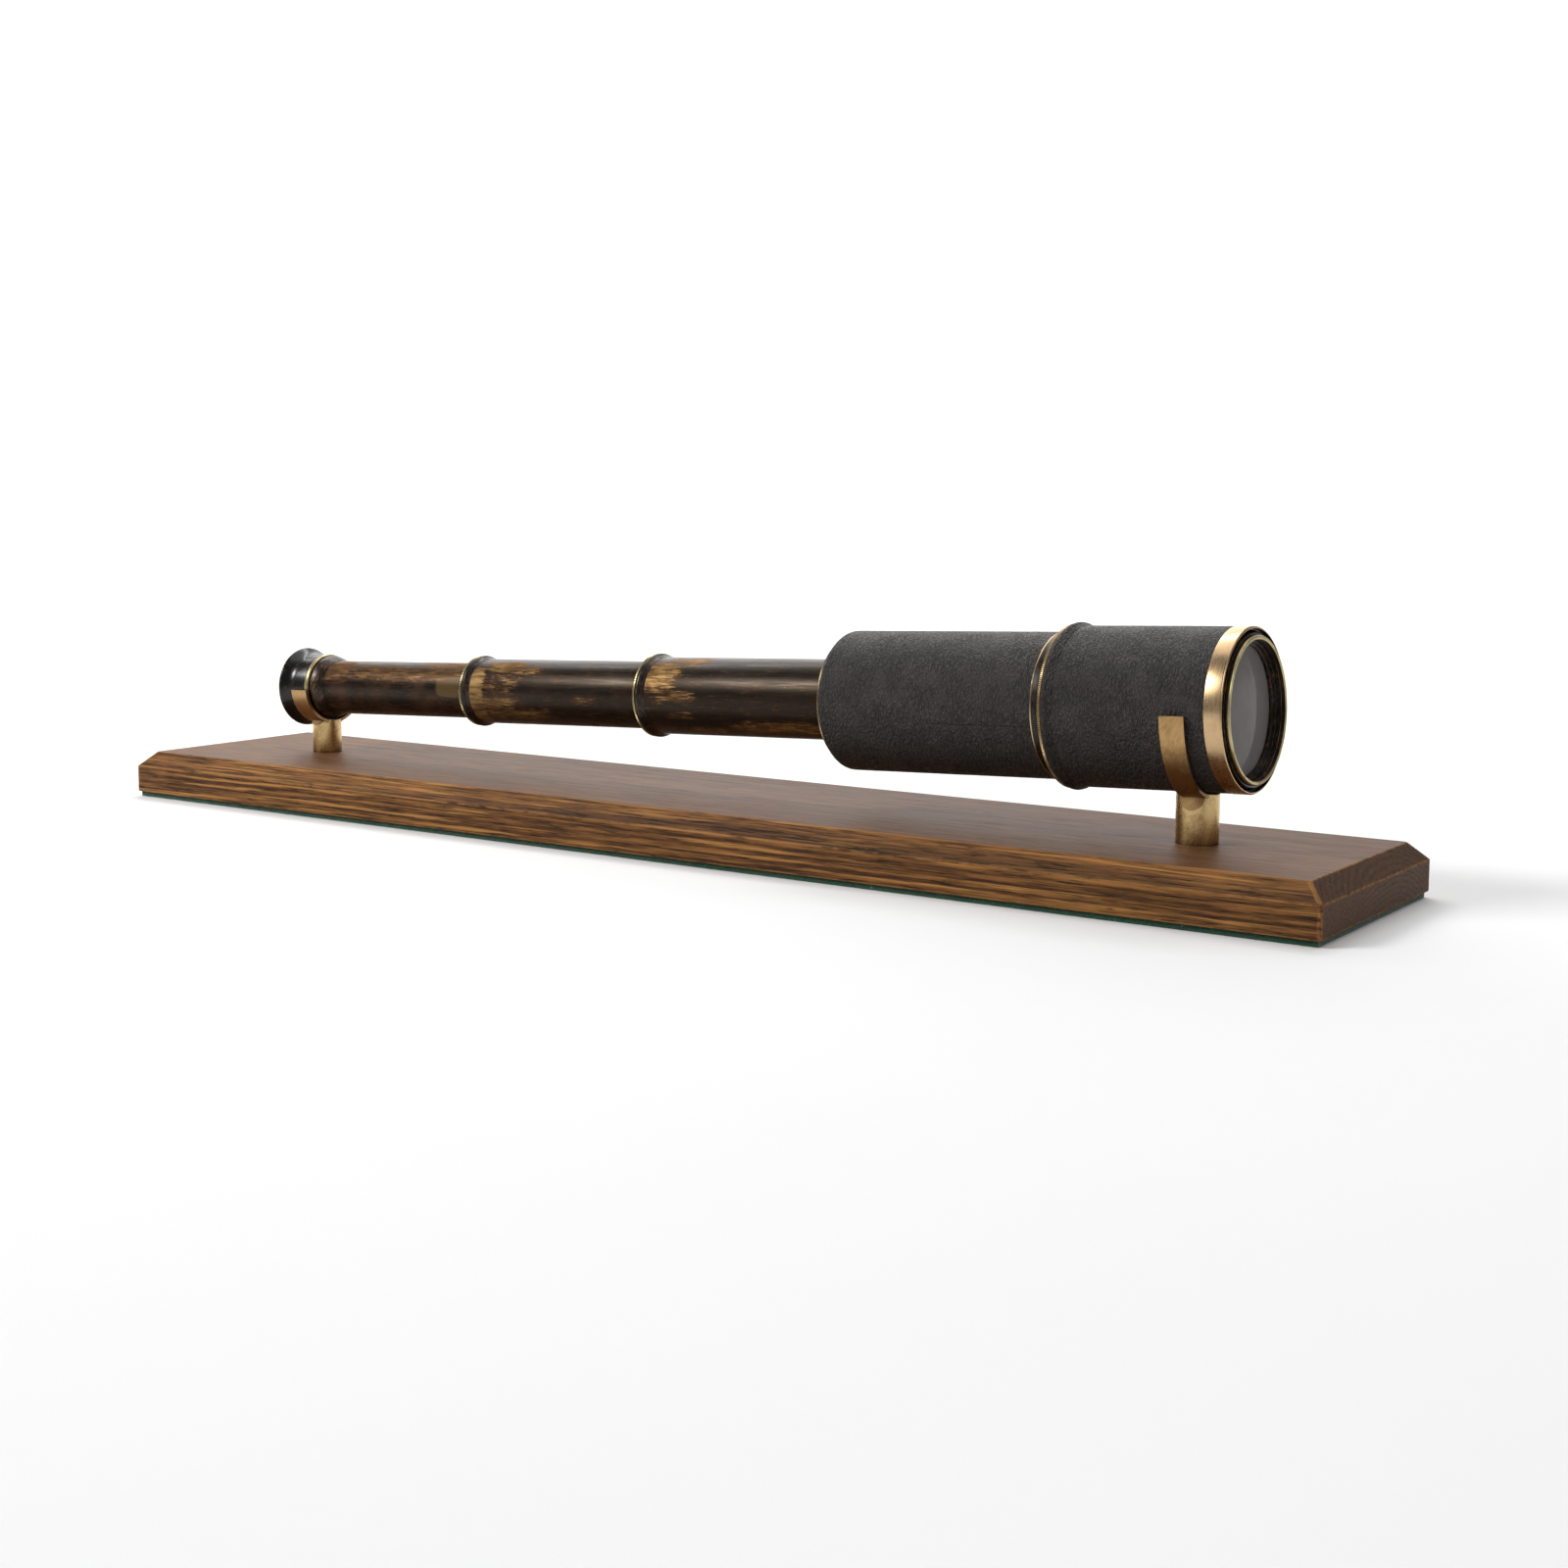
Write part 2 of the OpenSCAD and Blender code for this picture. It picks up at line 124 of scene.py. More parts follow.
def soften(points, radius, steps=3):
    """Rounds the corners of a closed profile, leaving its shallow bends as they are."""
    shallow = math.radians(25)
    most = 0.4
    done = []
    count = len(points)
    for i, point in enumerate(points):
        here = Vector(point)
        back = Vector(points[i - 1]) - here
        ahead = Vector(points[(i + 1) % count]) - here
        if here.x < MM / 10 or math.pi - back.angle(ahead) < shallow:
            done.append(tuple(here))
            continue
        cut = min(radius, most * back.length, most * ahead.length)
        a = here + back.normalized() * cut
        b = here + ahead.normalized() * cut
        for k in range(steps + 1):
            t = k / steps
            done.append(tuple(a * (1 - t) ** 2 + here * 2 * t * (1 - t) + b * t ** 2))
    return done


def refine(points, step):
    """Adds points along the outer straight lengths of a profile, so that it can be worked."""
    outside = max(p[0] for p in points) - 0.3 * MM
    done = []
    for i, point in enumerate(points):
        done.append(point)
        a, b = Vector(point), Vector(points[(i + 1) % len(points)])
        if min(a.x, b.x) < outside:
            continue
        pieces = int((b - a).length / step)
        done.extend(tuple(a.lerp(b, k / pieces)) for k in range(1, pieces))
    return done


def finish_piece(piece, body, nodes):
    """Places a piece in the model: the body it rides on and the CAD it stands for, which it hides."""
    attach(piece, body)
    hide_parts(*nodes)
    return piece


def mesh_piece(name, vertices, faces, materials, sharp=SHARP):
    """An object made from points and faces, welded, smooth, and sharp over an angle in degrees."""
    mesh = bpy.data.meshes.new(name)
    mesh.from_pydata(vertices, [], faces)
    work = bmesh.new()
    work.from_mesh(mesh)
    bmesh.ops.remove_doubles(work, verts=work.verts, dist=0.001 * MM)
    bmesh.ops.recalc_face_normals(work, faces=work.faces)
    work.to_mesh(mesh)
    work.free()
    mesh.shade_smooth()
    mesh.set_sharp_from_angle(angle=math.radians(sharp))
    for material in materials:
        mesh.materials.append(material)
    piece = bpy.data.objects.new(name, mesh)
    bpy.context.scene.collection.objects.link(piece)
    return piece


def ring_faces(bands, rings, around):
    """Faces from each ring of points to the next, over a number of bands."""
    faces = []
    for i in range(bands):
        j = (i + 1) % rings
        for k in range(around):
            n = (k + 1) % around
            faces.append((i * around + k, i * around + n, j * around + n, j * around + k))
    return faces


def stack_faces(rings, around):
    """Faces of a stack of rings of points, with its two ends closed."""
    points = range(rings * around)
    return [*ring_faces(rings - 1, rings, around), tuple(points[:around]), tuple(points[-around:])]


def turned(name, points, materials, around=256, mill=None, shape=None, split=None):
    """A turned piece. mill is its milled band; shape moves a point; split(radius, station)
    picks the material of a face."""
    if mill:
        around = POINTS_PER_TOOTH * mill.teeth
    vertices = []
    for radius, station in points:
        milled = mill and mill.start <= station <= mill.end and radius >= mill.least
        for k in range(around):
            turn = 2 * math.pi * k / around
            r = radius
            if milled and k % POINTS_PER_TOOTH < POINTS_PER_TOOTH / 2:
                r -= mill.depth
            s = station
            if shape:
                r, s = shape(r, s, turn)
            vertices.append((r * math.cos(turn), r * math.sin(turn), s))
    count = len(points)
    closed = min(points[0][0], points[-1][0]) > MM / 10
    faces = ring_faces(count if closed else count - 1, count, around)
    piece = mesh_piece(name, vertices, faces, materials, sharp=MILLED_SHARP if mill else SHARP)
    if split:
        for face in piece.data.polygons:
            c = face.center
            face.material_index = split(math.hypot(c.x, c.y), c.z)
    piece.matrix_world = LOCAL
    return piece


def from_cad(name, node, materials):
    """A copy of a CAD node's mesh, welded and smooth, for a piece that isn't turned."""
    mesh = NODES[node].data
    vertices = [tuple(v.co) for v in mesh.vertices]
    faces = [tuple(p.vertices) for p in mesh.polygons]
    return mesh_piece(name, vertices, faces, materials, sharp=30)


def colour(red, green, blue):
    """An sRGB colour, 0 to 255, as the linear colour that a shader takes."""
    parts = [v / 255 for v in (red, green, blue)]
    linear = [p / 12.92 if p <= 0.04045 else ((p + 0.055) / 1.055) ** 2.4 for p in parts]
    return (*linear, 1.0)


class Look:
    """A procedural material. add() returns a node, plug(), feed() and bump() join one up, and the
    other methods return the socket of the node that they add."""

    # Sockets of the mix node that belong to colours
    MIX_AMOUNT, MIX_A, MIX_B, MIX_RESULT = 0, 6, 7, 2

    def __init__(self, name, **values):
        self.material = bpy.data.materials.new(name)
        self.material.use_nodes = True
        self.tree = self.material.node_tree
        self.shader = self.tree.nodes["Principled BSDF"]
        self.at = self.add("ShaderNodeTexCoord").outputs["Object"]
        for key, value in values.items():
            self.feed(key.replace("_", " "), value)

    def add(self, kind, *inputs, **settings):
        node = self.tree.nodes.new(kind)
        for key, value in settings.items():
            setattr(node, key, value)
        for socket, value in zip(node.inputs, inputs):
            self.plug(socket, value)
        return node

    def plug(self, socket, value):
        if isinstance(value, bpy.types.NodeSocket):
            self.tree.links.new(value, socket)
        elif value is not None:
            socket.default_value = value

    def feed(self, name, value):
        wanted = name.lower()
        socket = next(s for s in self.shader.inputs if s.name.lower() == wanted)
        self.plug(socket, value)

    def math(self, operation, a, b=0.0):
        return self.add("ShaderNodeMath", a, b, operation=operation).outputs[0]

    def total(self, *values):
        result = values[0]
        for value in values[1:]:
            result = self.math("ADD", result, value)
        return result

    def times(self, a, b):
        return self.math("MULTIPLY", a, b)

    def step(self, value, low, high, to_low=0.0, to_high=1.0):
        """Smooth step from to_low to to_high as value goes from low to high."""
        node = self.add("ShaderNodeMapRange", value, low, high, to_low, to_high,
                        interpolation_type="SMOOTHSTEP")
        return node.outputs[0]

    def mix(self, amount, a, b):
        node = self.add("ShaderNodeMix", data_type="RGBA")
        self.plug(node.inputs[self.MIX_AMOUNT], amount)
        self.plug(node.inputs[self.MIX_A], a)
        self.plug(node.inputs[self.MIX_B], b)
        return node.outputs[self.MIX_RESULT]

    def parts(self, vector=None):
        node = self.add("ShaderNodeSeparateXYZ", vector or self.at)
        return node.outputs[0], node.outputs[1], node.outputs[2]

    def point(self, x=0.0, y=0.0, z=0.0):
        return self.add("ShaderNodeCombineXYZ", x, y, z).outputs[0]

    def stretched(self, *scale, vector=None):
        node = self.add("ShaderNodeVectorMath", vector or self.at, scale, operation="MULTIPLY")
        return node.outputs[0]

    def clouds(self, size, vector=None, detail=4.0, rough=0.55, twist=0.0):
        """Noise whose features are about size millimetres across, from 0 to 1."""
        node = self.add("ShaderNodeTexNoise")
        self.plug(node.inputs["Vector"], vector or self.at)
        node.inputs["Scale"].default_value = 1 / (size * MM)
        node.inputs["Detail"].default_value = detail
        node.inputs["Roughness"].default_value = rough
        node.inputs["Distortion"].default_value = twist
        return node.outputs["Fac"]

    def cells(self, size, vector=None, feature="F1", jitter=1.0):
        """Distance inside cells that are about size millimetres across."""
        node = self.add("ShaderNodeTexVoronoi", feature=feature)
        self.plug(node.inputs["Vector"], vector or self.at)
        node.inputs["Scale"].default_value = 1 / (size * MM)
        node.inputs["Randomness"].default_value = jitter
        return node.outputs["Distance"]

    def bump(self, height, depth, strength=1.0):
        """Relief of the surface: height times depth in millimetres."""
        node = self.add("ShaderNodeBump")
        node.inputs["Strength"].default_value = strength
        node.inputs["Distance"].default_value = depth * MM
        self.plug(node.inputs["Height"], height)
        self.plug(self.shader.inputs["Normal"], node.outputs[0])

    def round_tube(self):
        """Angle round the axis in degrees (0 front, 90 down), and the station in millimetres."""
        x, y, z = self.parts()
        angle = self.times(self.math("ARCTAN2", y, x), 180 / math.pi)
        return angle, self.times(z, 1 / MM)


def brass(name, base, dark, rough=0.25, brushed="turned", tarnish=0.5, grain=0.76, relief=0.25,
          corner_shade=0.85):
    """Brass with fine tool or polishing marks and soft tarnish, its corners and crevices darkened with
    painted shade.
    """
    look = Look(name, Metallic=1.0)
    if brushed == "slanted":
        x, y, z = look.parts()
        along = look.math("ADD", look.times(x, 0.06), look.times(z, 0.08))
        across = look.math("SUBTRACT", look.times(x, 0.8), look.times(z, 0.6))
        fine = look.clouds(0.5, look.point(along, look.times(y, 0.8), across), detail=4)
    else:
        fine = look.clouds(8, look.stretched(1, 1, 40), detail=3)
    cloudy = look.clouds(9, detail=5)
    spots = look.step(look.clouds(1.6, detail=2), 0.66, 0.74)
    stain_and_lit_top = look.total(look.times(look.step(cloudy, 0.42, 0.68), tarnish),
                       look.times(spots, 0.35 * tarnish))
    shade = look.mix(stain_and_lit_top, base, dark)
    # Painted shade: where ambient occlusion finds corners and crevices, the colour is mixed towards a
    # dark brown
    corner = look.add("ShaderNodeAmbientOcclusion", None, 3 * MM, samples=8)
    occlusion_shade = look.step(corner.outputs["AO"], 0.5, 0.95, corner_shade, 0.0)
    shade = look.mix(occlusion_shade, shade, colour(44, 32, 20))
    tone = look.add("ShaderNodeHueSaturation")
    look.plug(tone.inputs["Value"], look.step(fine, 0.35, 0.65, grain, 1.0))
    look.plug(tone.inputs["Color"], shade)
    look.feed("Base Color", tone.outputs[0])
    look.feed("Roughness", look.step(look.math("ADD", fine, stain_and_lit_top), 0.3, 1.3, rough, rough + 0.22))
    look.bump(fine, 0.03, relief)
    return look.material


def lacquer(name, patches, metal=((152, 122, 80), (98, 74, 48)), rub=0.3, films=()):
    """Black lacquer on a brass tube, worn through in patches. A patch is
    (station, half length, angle, half width, strength), in millimetres and degrees.
    films are patches where the lacquer is only thin and shows a smooth brown."""
    look = Look(name, Specular_IOR_Level=0.3, Specular_Tint=colour(226, 196, 166))
    angle, station = look.round_tube()
    along = look.clouds(0.9, look.stretched(1, 1, 0.1), detail=6, rough=0.75)
    blotch = look.clouds(6, look.stretched(1, 1, 0.5), detail=8, rough=0.78)
    broken = look.total(look.times(along, 2.9), look.times(blotch, 1.5))

    def area(marks, sharp=0.0):
        """The strongest of the marks at each point; each is whole out to sharp."""
        most = None
        for place, half_length, turn, half_width, strength in marks:
            a = look.times(look.math("SUBTRACT", station, place), 1 / half_length)
            b = look.times(look.math("SUBTRACT", angle, turn), 1 / half_width)
            reach = look.math("SQRT", look.math("ADD", look.math("POWER", look.math("ABSOLUTE", a), 4.0),
                                                look.math("POWER", look.math("ABSOLUTE", b), 4.0)))
            amount = look.step(reach, sharp, 1.5, strength, 0.0)
            most = amount if most is None else look.math("MAXIMUM", most, amount)
        return most

    edge = look.math("SUBTRACT", look.total(look.times(area(patches), 1.6), broken), 2.25)
    bare = look.step(edge, 0.42, 0.74)
    thin = look.step(edge, 0.08, 0.5)
    scratches = look.step(look.clouds(0.8, look.stretched(1, 1, 0.035), detail=2), 0.72, 0.77)
    slanted = look.step(look.clouds(0.7, look.stretched(0.2, 0.9, 0.5), detail=1), 0.75, 0.78)
    cut = look.times(look.math("MAXIMUM", scratches, slanted), look.step(blotch, 0.45, 0.62, 0, 0.7))
    bare = look.math("MAXIMUM", bare, cut)
    brass_tone = look.mix(look.step(look.clouds(2.5, look.stretched(1, 1, 0.2)), 0.35, 0.65),
                          colour(*metal[0]), colour(*metal[1]))
    film = look.mix(look.step(look.clouds(16, detail=4), 0.42, 0.7, 0.0, rub), colour(18, 14, 11),
                    colour(66, 44, 30))
    if films:
        film = look.mix(area(films, 0.9), film, colour(80, 64, 38))
    film = look.mix(thin, film, colour(74, 50, 30))
    look.feed("Base Color", look.mix(bare, film, brass_tone))
    look.feed("Metallic", look.math("MAXIMUM", look.times(bare, 0.9), look.times(thin, 0.4)))
    fine = look.clouds(1.2, look.stretched(1, 1, 0.06), detail=3)
    look.feed("Roughness", look.math("ADD", look.step(fine, 0.3, 0.7, 0.26, 0.4),
                                     look.times(bare, 0.2)))
    look.bump(look.math("SUBTRACT", look.times(fine, 0.3), bare), 0.03, 0.6)
    return look.material


def ebonite():
    """Black turned ebonite, rubbed brown in places."""
    look = Look("ebonite", Specular_IOR_Level=0.45)
    rubbed = look.step(look.clouds(4, detail=5), 0.5, 0.75)
    look.feed("Base Color", look.mix(rubbed, colour(14, 13, 12), colour(52, 39, 30)))
    lines = look.clouds(0.9, look.stretched(1, 1, 12), detail=2)
    look.feed("Roughness", look.step(look.math("ADD", lines, rubbed), 0.3, 1.6, 0.24, 0.4))
    look.bump(lines, 0.0006, 0.3)
    return look.material


def black_brass(name, wear=0.3, base=(22, 18, 14)):
    """Blackened brass whose colour has rubbed off to brown, mostly in rings."""
    look = Look(name, Metallic=0.35)
    rings = look.clouds(1.2, look.stretched(0.5, 0.5, 3), detail=4)
    rubbed = look.step(look.total(rings, look.times(look.clouds(5, detail=4), 0.6)), 0.78, 1.05, 0, wear)
    look.feed("Base Color", look.mix(rubbed, colour(*base), colour(160, 112, 62)))
    look.feed("Roughness", look.step(rings, 0.3, 0.7, 0.26, 0.42))
    look.bump(rings, 0.02, 0.5)
    return look.material


def leather(name, seam_angle=None, seam_from=0.0, seam_to=0.0):
    """Dark pebbled leather stretched round a tube, creased round it and rubbed on its grain."""
    look = Look(name, Specular_IOR_Level=0.5)
    angle, station = look.round_tube()
    warp = look.clouds(3.2, detail=2)
    shifted = look.add("ShaderNodeVectorMath", look.at, look.point(
        look.times(warp, 1.2 * MM), look.times(warp, -1.0 * MM), look.times(warp, 1.4 * MM)),
        operation="ADD").outputs[0]
    pebble = look.step(look.cells(1.2, look.stretched(0.8, 0.8, 1.5, vector=shifted)), 0.1, 0.75,
                       1.0, 0.0)
    crease = look.cells(2.6, look.stretched(0.5, 0.5, 1.6, vector=shifted), "DISTANCE_TO_EDGE")
    deep = look.step(look.clouds(11, detail=3), 0.36, 0.6)
    furrow = look.times(look.step(crease, 0.0, 0.14, 1.0, 0.0), deep)
    pores = look.clouds(0.45, detail=3, rough=0.7)
    height = look.total(pebble, look.times(furrow, -0.9), look.times(pores, 0.4))
    patchy = look.clouds(26, detail=5)
    raised = look.mix(look.step(patchy, 0.35, 0.7), colour(46, 39, 34), colour(58, 50, 44))
    base = look.mix(look.step(height, 0.1, 0.95), colour(23, 20, 17), raised)
    scuffs = look.times(look.step(look.clouds(5, look.stretched(0.7, 0.7, 1.3), detail=6, rough=0.75),
                                  0.6, 0.72), look.step(height, 0.5, 1.0, 0.0, 0.22))
    base = look.mix(scuffs, base, colour(112, 100, 90))
    if seam_angle is not None:
        off = look.math("ABSOLUTE", look.math("SUBTRACT", angle, look.math(
            "ADD", seam_angle, look.times(look.math("SUBTRACT", warp, 0.5), 3.0))))
        inside = look.times(look.step(station, seam_from, seam_from + 12),
                            look.step(station, seam_to - 1, seam_to, 1.0, 0.0))
        seam = look.times(look.step(off, 0.25, 0.9, 1.0, 0.0), inside)
        height = look.math("SUBTRACT", height, look.times(seam, 1.2))
        base = look.mix(look.times(seam, 0.8), base, colour(14, 12, 11))
    look.feed("Base Color", base)
    look.feed("Roughness", look.step(height, 0.1, 1.1, 0.62, 0.4))
    look.bump(height, 0.5, 1.0)
    return look.material


def oak():
    """Stained oak: growth rings about a pith line under the board, pores and worn arrises."""
    look = Look("stained_oak", Specular_IOR_Level=0.14)
    _, y, z = look.parts()
    drift = look.clouds(150, look.stretched(0.5, 1.6, 1.6), detail=2)
    ripple = look.clouds(22, look.stretched(0.22, 1, 1), detail=3)
    pith_y, pith_z = 26 * MM, -78 * MM
    ring_width = 2.7 * MM
    shift = look.total(look.times(drift, 22 * MM), look.times(ripple, 2.4 * MM))
    dy = look.math("SUBTRACT", look.math("ADD", y, shift), pith_y)
    dz = look.math("SUBTRACT", look.math("ADD", z, look.times(drift, 12 * MM)), pith_z)
    reach = look.math("SQRT", look.math("ADD", look.times(dy, dy), look.times(dz, dz)))
    ring = look.math("FRACT", look.times(reach, 1 / ring_width))
    early = look.math("MINIMUM", look.step(ring, 0.0, 0.18), look.step(ring, 0.3, 0.72, 1.0, 0.0))
    fibre = look.clouds(0.9, look.stretched(0.03, 1, 1), detail=6, rough=0.72)
    broad = look.clouds(9, look.stretched(0.045, 1, 1), detail=4)
    vessels = look.clouds(0.8, look.stretched(0.05, 1, 1), detail=3)
    facing = look.parts(look.add("ShaderNodeNewGeometry").outputs["Normal"])
    top = look.step(facing[2], 0.85, 0.98)
    calm = look.step(top, 0.0, 1.0, 1.0, 0.55)
    pore = look.times(look.step(vessels, 0.54, 0.63), look.step(early, 0.15, 0.8, 0.25, 1.0))
    pore = look.times(pore, calm)
    cracks = look.times(look.step(look.clouds(1.9, look.stretched(0.07, 1, 1), detail=5, rough=0.7,
                                              twist=0.4), 0.62, 0.68), look.step(broad, 0.4, 0.6))
    cracks = look.times(cracks, calm)
    base = look.mix(look.step(fibre, 0.38, 0.62), colour(54, 33, 17), colour(138, 92, 48))
    base = look.mix(look.step(broad, 0.5, 0.72, 0.0, 0.5), base, colour(162, 112, 60))
    gleam = look.step(look.clouds(1.5, look.stretched(0.02, 1, 1), detail=4), 0.53, 0.62)
    base = look.mix(look.times(gleam, 0.7), base, colour(182, 130, 70))
    base = look.mix(look.times(early, look.step(top, 0.0, 1.0, 0.6, 0.1)), base, colour(48, 27, 14))
    base = look.mix(look.times(pore, 0.8), base, colour(24, 13, 7))
    base = look.mix(look.times(cracks, 0.85), base, colour(22, 13, 8))
    end = look.step(look.math("ABSOLUTE", facing[0]), 0.5, 0.68)
    end_grain = look.mix(look.step(look.clouds(1.2, detail=6, rough=0.7), 0.35, 0.65),
                         colour(44, 28, 18), colour(92, 62, 40))
    end_grain = look.mix(look.times(early, 0.15), end_grain, colour(34, 20, 13))
    base = look.mix(look.times(end, 0.85), base, end_grain)
    # Painted light: the face that points up, picked by its normal, is mixed most of the way to a greyer
    # brown of its own, standing for how light falls on the top
    stain_and_lit_top = look.mix(look.step(fibre, 0.38, 0.62), colour(64, 41, 27), colour(124, 86, 58))
    base = look.mix(look.times(top, 0.72), base, stain_and_lit_top)
    arris = look.add("ShaderNodeAttribute", attribute_name="arris").outputs["Fac"]
    chips = look.clouds(3.5, look.stretched(0.3, 1, 1), detail=5, rough=0.7)
    worn = look.times(look.step(arris, 0.5, 1.0), look.step(chips, 0.36, 0.56))
    base = look.mix(look.times(worn, 0.55), base, colour(164, 114, 62))
    look.feed("Base Color", base)
    rough = look.total(look.step(fibre, 0.3, 0.7, 0.46, 0.6), look.times(pore, 0.2))
    look.feed("Roughness", rough)
    height = look.total(look.times(fibre, 0.35), look.times(pore, -0.6), look.times(cracks, -1.0))
    look.bump(height, 0.16, 0.8)
    return look.material


def baize():
    """Green felt with a nap, faded patches and some lint."""
    look = Look("green_baize", Sheen_Weight=0.5, Sheen_Roughness=0.4, Roughness=0.95)
    nap = look.clouds(0.8, detail=5, rough=0.75)
    felt = look.clouds(12, detail=4)
    base = look.mix(look.step(nap, 0.3, 0.7), colour(14, 44, 32), colour(44, 92, 66))
    base = look.mix(look.step(felt, 0.45, 0.7, 0.0, 0.6), base, colour(22, 60, 44))
    lint = look.step(look.clouds(1.1, look.stretched(0.4, 1, 1), detail=3), 0.68, 0.76)
    look.feed("Base Color", look.mix(look.times(lint, 0.7), base, colour(150, 170, 156)))
    look.bump(nap, 0.5, 1.0)
    return look.material


def glass():
    """Clear, slightly dusty glass for the lenses inside."""
    look = Look("glass", Transmission_Weight=1.0, IOR=1.3)
    dust = look.clouds(3, detail=5)
    look.feed("Base Color", look.mix(dust, colour(205, 203, 204), colour(186, 184, 186)))
    look.feed("Roughness", look.step(dust, 0.4, 0.75, 0.0, 0.08))
    return look.material


def grey_painted_glass():
    """The front lens: mostly opaque grey, a painted reflection standing for the grey the glass reflects,
    so that little of the tube shows through it; dust varies the grey a little.
    """
    look = Look("grey_painted_glass", Transmission_Weight=0.2, IOR=1.2, Specular_IOR_Level=0.15)
    dust = look.clouds(5, detail=6)
    # Painted reflection: the flat grey base colour stands for what the glass reflects
    look.feed("Base Color", look.mix(dust, colour(136, 131, 129), colour(122, 117, 115)))
    look.feed("Roughness", look.step(dust, 0.4, 0.75, 0.04, 0.12))
    return look.material


def steel():
    """Turned steel of the screws under the plinth."""
    look = Look("screw_steel", Metallic=1.0)
    spun = look.clouds(1.5, look.stretched(1, 1, 6), detail=3)
    look.feed("Base Color", look.mix(spun, colour(120, 118, 114), colour(176, 172, 166)))
    look.feed("Roughness", look.step(spun, 0.3, 0.7, 0.3, 0.48))
    look.bump(spun, 0.02, 0.5)
    return look.material


def matt_black():
    """Matt black paint that keeps light from bouncing inside the tubes."""
    look = Look("matt_black_paint")
    spray = look.clouds(1.4, detail=5)
    look.feed("Base Color", look.mix(spray, colour(12, 12, 12), colour(30, 29, 28)))
    look.feed("Roughness", look.step(spray, 0.3, 0.7, 0.6, 0.85))
    look.bump(spray, 0.04, 0.5)
    return look.material


# The posts get less of the painted corner shade than the other brass
POST_BRASS = brass("post_brass", colour(214, 184, 130), colour(150, 118, 72), 0.2, "slanted", 0.45,
                   relief=0.6, corner_shade=0.5)
BAND_BRASS = brass("band_brass", colour(188, 152, 104), colour(136, 100, 60), 0.33, "slanted", 0.5,
                   relief=0.6)
POLISHED = brass("polished_brass", colour(206, 175, 134), colour(170, 134, 94), 0.24, tarnish=0.2,
                 grain=0.93, relief=0.02)
MILLED = brass("milled_brass", colour(200, 182, 136), colour(128, 110, 72), 0.3)
COPPERY = brass("coppery_milling", colour(202, 174, 132), colour(124, 98, 66), 0.34)
BARE = brass("bare_brass", colour(192, 160, 108), colour(126, 96, 60), 0.3, tarnish=0.75)
DARK = black_brass("blackened_brass")
BROWN = black_brass("lacquered_collar", 0.45, (30, 21, 14))
BLACK_BAND = black_brass("black_band", 0.12, (14, 13, 12))
MATT = matt_black()
EBONITE = ebonite()
GLASS = glass()
FRONT_GLASS = grey_painted_glass()
STEEL = steel()
OAK = oak()
BAIZE = baize()
BARREL_LEATHER = leather("barrel_leather", 12.0, 150, 208)
SHADE_LEATHER = leather("shade_leather")
DRAW_ONE = lacquer("worn_lacquer_one", (
    (-252, 12, -52, 36, 0.5), (-226, 26, -44, 24, 0.4), (-196, 34, -38, 20, 0.42),
    (-170, 22, -62, 30, 0.4), (-240, 30, 40, 20, 0.12), (-200, 50, 66, 14, 0.16)),
    metal=((120, 92, 64), (82, 60, 42)), rub=0.75, films=((-163, 9, -18, 26, 1.0),))
DRAW_TWO = lacquer("worn_lacquer_two", (
    (-143, 8, 4, 62, 0.72), (-124, 16, -55, 18, 0.46), (-108, 12, -46, 12, 0.42),
    (-126, 18, -18, 22, 0.28), (-128, 16, 16, 14, 0.42), (-116, 28, 38, 14, 0.38),
    (-66, 8, 6, 12, 0.2)), rub=0.35)
DRAW_THREE = lacquer("worn_lacquer_three", (
    (-16, 14, -36, 34, 0.5), (0, 16, -66, 16, 0.36), (-4, 14, -4, 10, 0.3),
    (-2, 10, 24, 8, 0.24), (58, 34, 44, 14, 0.44), (14, 14, 54, 8, 0.34)),
    metal=((160, 128, 82), (104, 78, 48)), rub=0.12)


